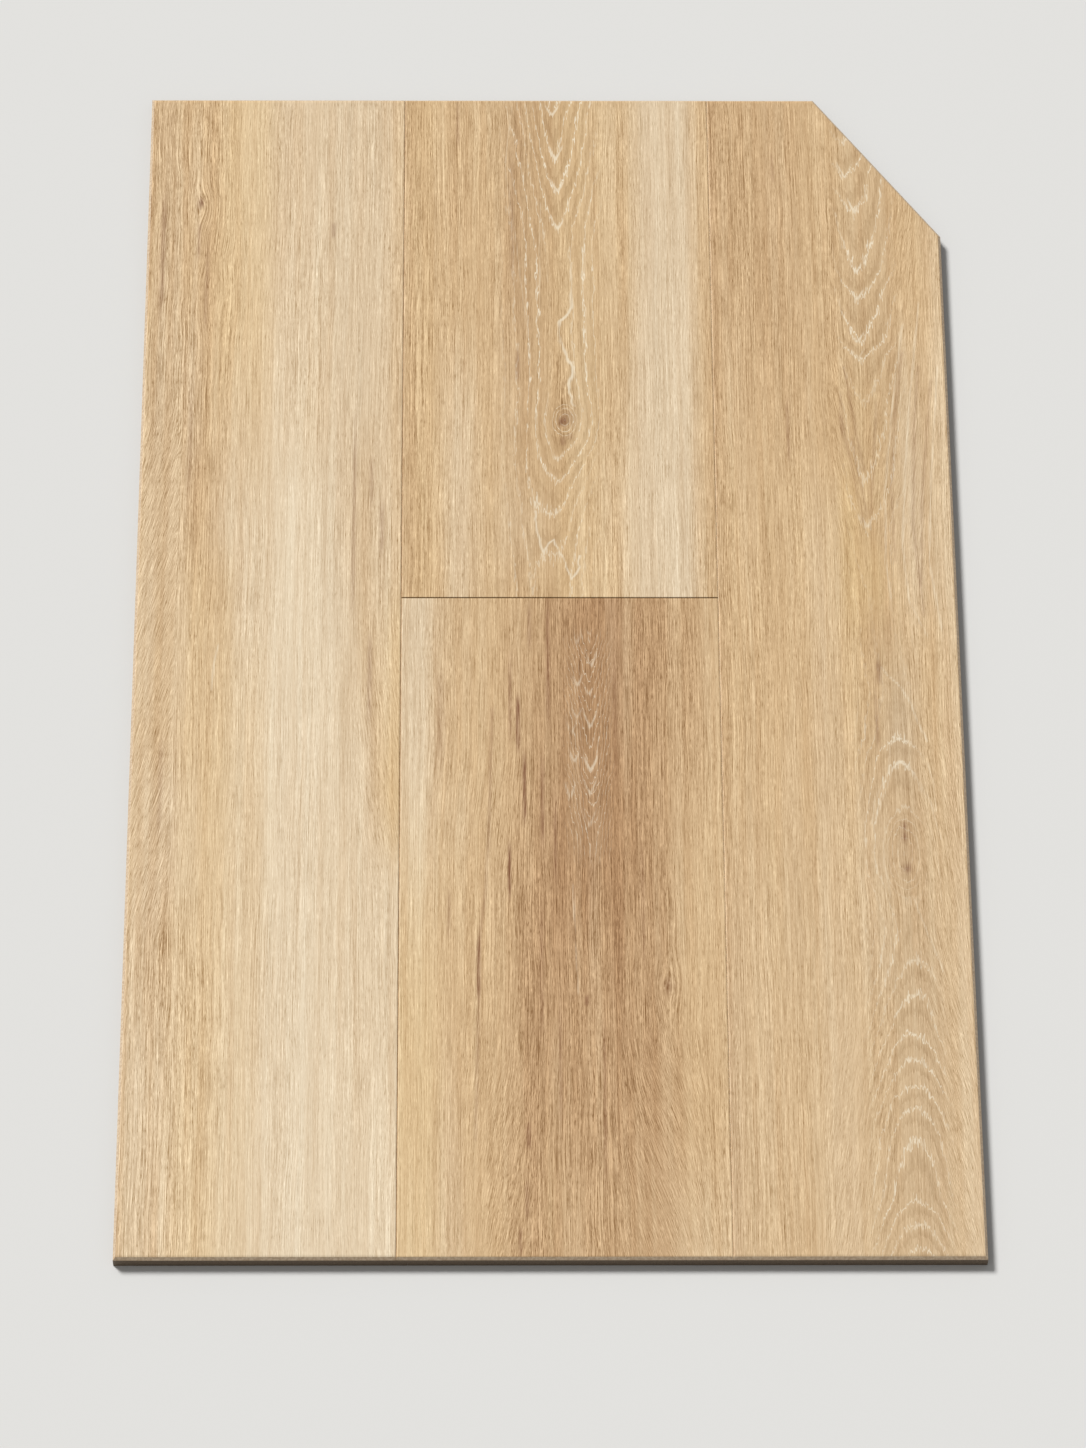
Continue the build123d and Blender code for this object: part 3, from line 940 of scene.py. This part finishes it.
def slanted_group():
    """Noise stretched along the flow, in two overlapping sets of cells sheared by the lean."""
    tree, given, result = new_group("slanted_streaks", {**STREAK_INPUTS, "Lean": FLOAT}, {"Streak": FLOAT})
    x, y, _ = given["Flow"].split("XYZ")
    cell = given["Length"] * CELL
    layers = []
    for offset in (0.0, 0.5):
        moved = y / cell + offset
        aside = moved - round(moved)
        across = (x - aside * cell * given["Lean"]) / given["Width"]
        noise = streak_noise(tree, across, y / given["Length"], given["Shift"] + CELL_SHIFT * offset)
        layers.append((noise - 0.5) * (abs(aside) * -2.0 + 1.0).maths("SQRT"))
    fill(tree, result, {"Streak": layers[0] + layers[1] + 0.5})
    return tree


straight = straight_group()
slanted = slanted_group()
print("groups", straight.name, slanted.name)

# %% [markdown]
# ## Ring lines
# A growth ring shows as a thin line of open pores, which the limed finish fills with white, and as a
# slow change from light to dark between one line and the next.

# %% Group: growth rings
RAGGED = streak_size(0.9, 8.0, 3.0)
RAGGED_BY = 0.7
GAPS = streak_size(1.1, 12.0, 5.0)
GAP_RANGE = (0.26, 0.50)
LINE_RANGE = (1.0, 0.2)
CHANCE_RANGE = (0.1, 0.9, 0.6, 1.0)


def ring_group():
    """A thin broken line at each whole ring, and a saw-tooth shade between them."""
    tree, given, result = new_group(
        "growth_rings", {"Flow": VECTOR, "Line Width": FLOAT}, {"Line": FLOAT, "Shade": FLOAT})
    flow = given["Flow"]
    ragged = use(tree, straight, {"Flow": flow, **RAGGED})["Streak"]
    ring = (ragged - 0.5) * RAGGED_BY + flow.split("XYZ")[2]
    whole = round(ring)
    away = ring - whole
    thin = (abs(away) / given["Line Width"]).remap(*LINE_RANGE)
    chance = Value(put(tree, "TexWhiteNoise", {"W": whole}, noise_dimensions="1D"))
    broken = use(tree, straight, {"Flow": flow, **GAPS})["Streak"].remap(*GAP_RANGE)
    fill(tree, result, {"Line": thin * (chance.remap(*CHANCE_RANGE) * broken), "Shade": away + 0.5})
    return tree


rings = ring_group()
print("group", rings.name)

# %% [markdown]
# ## The oak print
# The print mixes the tints, lays light and dark fibres over them, shades the rings, fills the limed lines
# and darkens the marks. The fibres are long straight lines with fine streaks and short dashes between
# them. The long lines fade where the fibres lean, so they don't cross the slanted ones. The print is one
# group, so the face material only has to hand it the fields and the colours.

# %% Group: oak print
FIBRE_HUE = (0.82, 1.0, 1.25)
BAND_HUE = (0.65, 1.0, 1.40)
SWING = 0.6
BROAD, LONG, MID = streak_size(4.0, 220.0, 0.0), streak_size(0.40, 130.0, 1.0), streak_size(1.2, 110.0, 4.0)
FINE, TICK = streak_size(0.34, 22.0, 2.0), streak_size(0.32, 4.5, 7.0)
BROAD_TONE, LONG_TONE, MID_TONE, FINE_TONE, DASH_TONE = 0.36, 0.95, 0.42, 1.4, 0.32
DASH_RANGE = (0.06, 0.22)
LEAN_RANGE = (0.06, 0.22, 1.0, 0.25)
RING_LINE = 0.068
RING_SHADE = -0.18
LIME_COVER = 0.85
LIME_RISE = 0.2
STROKE_ROUGHNESS = 1.6
STROKE_RANGE = (0.2, 0.55)
MARK_RANGE = (0.16, -0.10, 0.55, 1.2)
GLOSSY, MATTE = 0.48, 0.62


def toned(tree, colour, tone, hue):
    """Colour made lighter or darker by a tone about 0, more so in blue than in red, as in a stained print."""
    share = tone * (0.5 / SWING) + 0.5
    low, high = ((*(1 + swing * part for part in hue), 1.0) for swing in (-SWING, SWING))
    return mingle(tree, 1.0, colour, mingle(tree, share, low, high), "MULTIPLY")


def print_group():
    """Colour, relief height and roughness of the print from the fields and a few colours."""
    colours = ("Tan", "Brown", "Cream", "Grey", "Gold", "Filler", "Knot")
    tree, given, result = new_group(
        "oak_print",
        {"Flow": VECTOR, "Tint": COLOUR, "Lime": FLOAT, "Draw": COLOUR, "Gilt": FLOAT, "Lively": FLOAT,
         **{key: COLOUR for key in colours}},
        {"Color": COLOUR, "Height": FLOAT, "Roughness": FLOAT})
    brown, cream, grey = given["Tint"].split("Color")
    mark, stroke, lean = given["Draw"].split("Color")

    def swing_of(group, inputs):
        """Streaks that swing about 0."""
        return use(tree, group, {"Flow": given["Flow"], **inputs})["Streak"] - 0.5

    broad, long, mid = (swing_of(straight, size) for size in (BROAD, LONG, MID))
    fine, tick = (swing_of(slanted, {**size, "Lean": lean}) for size in (FINE, TICK))
    ring = use(tree, rings, {"Flow": given["Flow"], "Line Width": RING_LINE})
    colour = given["Tan"]
    for share, key in ((brown, "Brown"), (cream, "Cream"), (grey, "Grey"), (given["Gilt"], "Gold")):
        colour = mingle(tree, share, colour, given[key])
    colour = toned(tree, colour, broad * BROAD_TONE, BAND_HUE)
    dashes = tick.remap(*DASH_RANGE) - tick.remap(*(-edge for edge in DASH_RANGE))
    upright = abs(lean).remap(*LEAN_RANGE)
    tone = (mid * MID_TONE + long * LONG_TONE) * upright + (fine * FINE_TONE + dashes * DASH_TONE)
    colour = toned(tree, colour, tone * given["Lively"], FIBRE_HUE)
    shade = ring["Shade"].remap(0.5, 1.0, 0.0, RING_SHADE)
    colour = toned(tree, colour, shade * given["Lime"], FIBRE_HUE)
    rough = fine * STROKE_ROUGHNESS + stroke
    drawn = rough.remap(*STROKE_RANGE) * stroke.maths("MINIMUM", 1.0)
    limed = (ring["Line"] * given["Lime"]).maths("MAXIMUM", drawn)
    colour = mingle(tree, limed * LIME_COVER, colour, given["Filler"])
    streaky = mark * fine.remap(*MARK_RANGE)
    fill(tree, result, {
        "Color": mingle(tree, streaky, colour, given["Knot"]),
        "Height": fine - limed * LIME_RISE,
        "Roughness": fine.remap(-0.2, 0.2, MATTE, GLOSSY)})
    return tree


oak = print_group()
print("group", oak.name)

# %% [markdown]
# ## Materials
# The face is a matte wear layer over the print, so its gloss is low and even. The bevels are painted, and
# the sawn core under them is a dark grey brown. The seams' small bevels have paints of their own, which also
# hold painted shade of their grooves: tan on the left, nearly as pale as the face on the right, and dark
# brown at the end joint, partly its paint and partly painted shade.

# %% Materials of the planks
PALETTE = {
    "Tan": paint(211, 178, 134),
    "Brown": paint(178, 138, 97),
    "Cream": paint(231, 211, 180),
    "Grey": paint(198, 175, 145),
    "Gold": paint(220, 187, 136),
    "Filler": paint(247, 234, 208),
    "Knot": paint(108, 47, 8),
}
ROUGHNESS = 0.55
SPECULAR = 0.25
FACE_BUMP = {"Strength": 0.6, "Distance": 0.00012}
EDGE_BUMP = {"Strength": 0.3, "Distance": 0.0001}
EDGE_RANGE = (0.35, 0.65)


def new_material(name):
    """Empty node material with a Principled shader wired to its output."""
    material = bpy.data.materials.new(name)
    material.use_nodes = True
    tree = material.node_tree
    tree.nodes.clear()
    shader = put(tree, "BsdfPrincipled", {"Roughness": ROUGHNESS, "Specular IOR Level": SPECULAR})
    put(tree, "OutputMaterial", {"Surface": Value(shader)})
    return material, tree, shader


FIELDS = {
    "Flow": ("flow", "Vector"), "Tint": ("tint", "Color"), "Lime": ("tint", "Alpha"),
    "Draw": ("draw", "Color"), "Gilt": ("draw", "Alpha"), "Lively": ("lively", "Fac")}


def face_material(name):
    """Printed face of the planks."""
    material, tree, shader = new_material(name)
    fields = {
        key: Value(put(tree, "Attribute", {}, attribute_name=attribute), part)
        for key, (attribute, part) in FIELDS.items()}
    look = use(tree, oak, {**fields, **PALETTE})
    bump = put(tree, "Bump", {**FACE_BUMP, "Height": look["Height"]})
    fill(tree, shader, {
        "Base Color": look["Color"], "Roughness": look["Roughness"], "Normal": Value(bump)})
    return material


def edge_material(name, light, dark, grain_mm):
    """Painted or sawn edge: two close colours mottled by fine noise."""
    material, tree, shader = new_material(name)
    place = Value(put(tree, "TexCoord", {}), "Object")
    noise = Value(put(tree, "TexNoise", {"Vector": place, "Scale": 1 / (grain_mm * MM), "Detail": 3.0}))
    bump = put(tree, "Bump", {**EDGE_BUMP, "Height": noise})
    colour = mingle(tree, noise.remap(*EDGE_RANGE), paint(*dark), paint(*light))
    fill(tree, shader, {"Base Color": colour, "Normal": Value(bump)})
    return material


finishes = {
    PRINT: face_material("oak_face"),
    BEVEL: edge_material("bevel_paint", (216, 194, 165), (194, 168, 138), 1.5),
    # Painted shade: the two long seams are the same joint and differ only in how much groove shade is painted
    # in; the end joint's dark brown is part paint, part painted shade.
    LEFT_SEAM_PAINT_AND_SHADE: edge_material("left_seam_paint_and_shade", (210, 176, 134), (188, 153, 113), 4.0),
    RIGHT_SEAM_PAINT_AND_SHADE: edge_material("right_seam_paint_and_shade", (238, 210, 172), (222, 190, 150), 4.0),
    END_JOINT_PAINT_AND_SHADE: edge_material("end_joint_paint_and_shade", (124, 84, 34), (98, 64, 24), 4.0),
    CORE: edge_material("sawn_core", (120, 104, 86), (98, 84, 69), 0.8),
}
for node, plank in planks.items():
    for number in sorted(finishes):
        plank.data.materials.append(finishes[number])
    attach(plank, "root")
    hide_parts(node)
print("materials:", [m.name for m in bpy.data.materials if m.users])

# %% [markdown]
# ## Stage, light and camera
# The panel lies on a plain pale floor under one soft lamp from the rear left and an even sky, so the left,
# rear and clipped bevels catch the light and the front edge falls into shade. The camera looks down as the
# photographer did.

# %% Floor
FLOOR_HALF = 40.0
FLOOR_PAINT = paint(226, 225, 222)
FLOOR_ROUGHNESS = 0.9

floor = new_object("floor", bpy.data.meshes.new("floor"))
square = [(FLOOR_HALF * x, FLOOR_HALF * y, 0) for x, y in ((-1, -1), (1, -1), (1, 1), (-1, 1))]
floor.data.from_pydata(square, [], [(0, 1, 2, 3)])
paper, paper_tree, paper_shader = new_material("floor_paper")
fill(paper_tree, paper_shader, {"Base Color": FLOOR_PAINT, "Roughness": FLOOR_ROUGHNESS})
floor.data.materials.append(paper)
print(f"floor {2 * FLOOR_HALF:.0f} m wide")

# %% Light: a broad sun from the rear left, and an even white sky
SUN_TURN = math.radians(135)
SUN_HEIGHT = math.radians(46)
SUN_SIZE = math.radians(18)
SUN_POWER = 3.2
SKY_POWER = 0.27

sun = new_object("key", bpy.data.lights.new("key", "SUN"))
sun.data.energy = SUN_POWER
sun.data.angle = SUN_SIZE
sun.rotation_euler = (math.pi / 2 - SUN_HEIGHT, 0, SUN_TURN + math.pi / 2)
sky = bpy.data.worlds.new("sky")
sky.use_nodes = True
fill(sky.node_tree, sky.node_tree.nodes["Background"], {0: (1.0, 1.0, 1.0, 1.0), 1: SKY_POWER})
bpy.context.scene.world = sky
print("sun", SUN_POWER, "sky", SKY_POWER)

# %% Camera: a long lens looking down, turned slightly right and level with the front edge
LENS = 146.7
SENSOR = 36
PITCH = math.radians(60.03)
YAW = math.radians(1.20)
ROLL = math.radians(1.04)
CAMERA_PLACE = (-0.0371, -1.7037, 2.8751)

camera = new_object("camera", bpy.data.cameras.new("camera"))
camera.data.lens = LENS
camera.data.sensor_width = SENSOR
tilt = Matrix.Rotation(math.pi / 2 - PITCH, 4, "X")
turn = Matrix.Rotation(-YAW, 4, "Z") @ tilt @ Matrix.Rotation(ROLL, 4, "Z")
camera.matrix_world = Matrix.Translation(CAMERA_PLACE) @ turn
bpy.context.scene.camera = camera
bpy.context.scene.view_settings.view_transform = "Standard"
print("camera at", CAMERA_PLACE)
